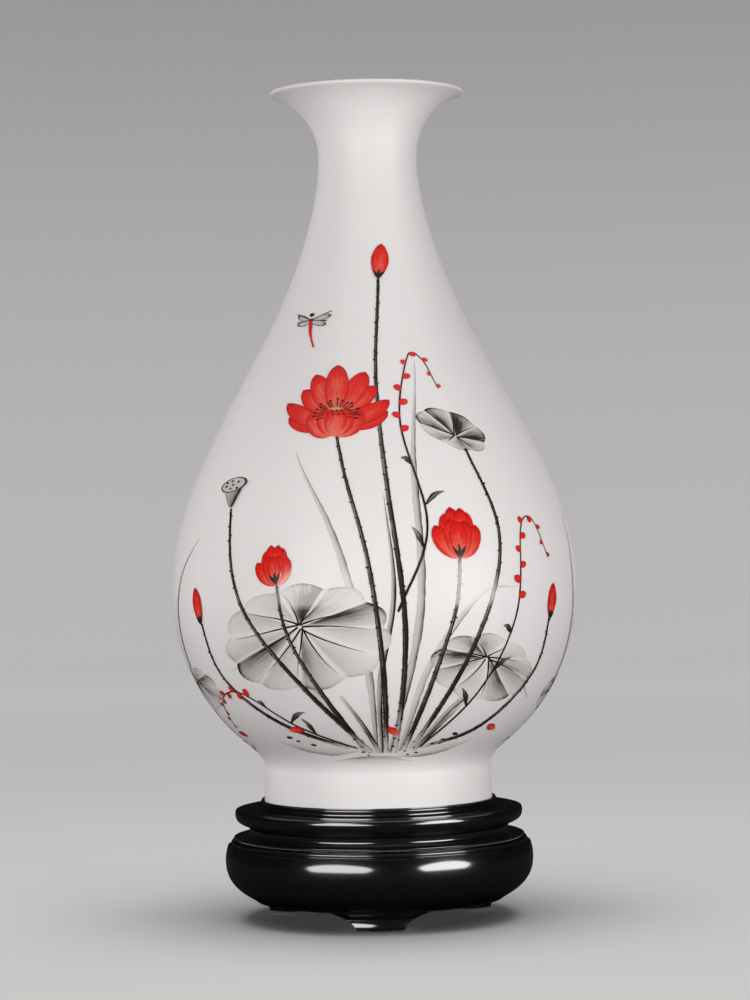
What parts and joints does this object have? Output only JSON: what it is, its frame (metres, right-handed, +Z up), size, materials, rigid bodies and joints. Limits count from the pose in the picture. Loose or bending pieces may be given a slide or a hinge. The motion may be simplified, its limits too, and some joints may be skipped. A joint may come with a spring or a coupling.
{
  "type": "pear-shaped vase",
  "caption": "Pear-shaped porcelain vase with a flared lip, standing loosely in the recess of a round turned wooden stand on rolled feet.",
  "frame": {"origin": "middle of the stand on the surface that its feet rest on", "axes": "+Z up along the axis of the vase and the stand; -Y towards the front foot and the painted front"},
  "size_m": [0.2278, 0.2278, 0.4643],
  "materials": {
    "porcelain": "satin white glaze with glossy red and ink-black overglaze painting",
    "lacquered_wood": "black lacquer, half gloss, over turned wood",
    "felt": "black pressed felt",
    "screw_steel": "bright zinc plating"
  },
  "bodies": {
    "stand": {"seat_board": "lacquered_wood", "waist_ring": "lacquered_wood", "belly_ring": "lacquered_wood", "foot_front": "lacquered_wood", "foot_right": "lacquered_wood", "foot_left": "lacquered_wood", "foot_felt_front": "felt", "foot_felt_right": "felt", "foot_felt_left": "felt", "foot_screw_front": "screw_steel", "foot_screw_right": "screw_steel", "foot_screw_left": "screw_steel", "top_screw_back": "screw_steel", "top_screw_left": "screw_steel", "top_screw_right": "screw_steel"},
    "seat_disc": {"seat_felt": "felt"},
    "vase": {"vase_body": "porcelain"}
  },
  "joints": [
    {"name": "vase_turn", "type": "hinge", "parent": "stand", "child": "seat_disc", "pos_m": [0, 0, 0.0631], "axis": [0, 0, 1], "continuous": true},
    {"name": "vase_lift", "type": "slide", "parent": "seat_disc", "child": "vase", "axis": [0, 0, 1], "range_m": [0, 0.06]}
  ]
}
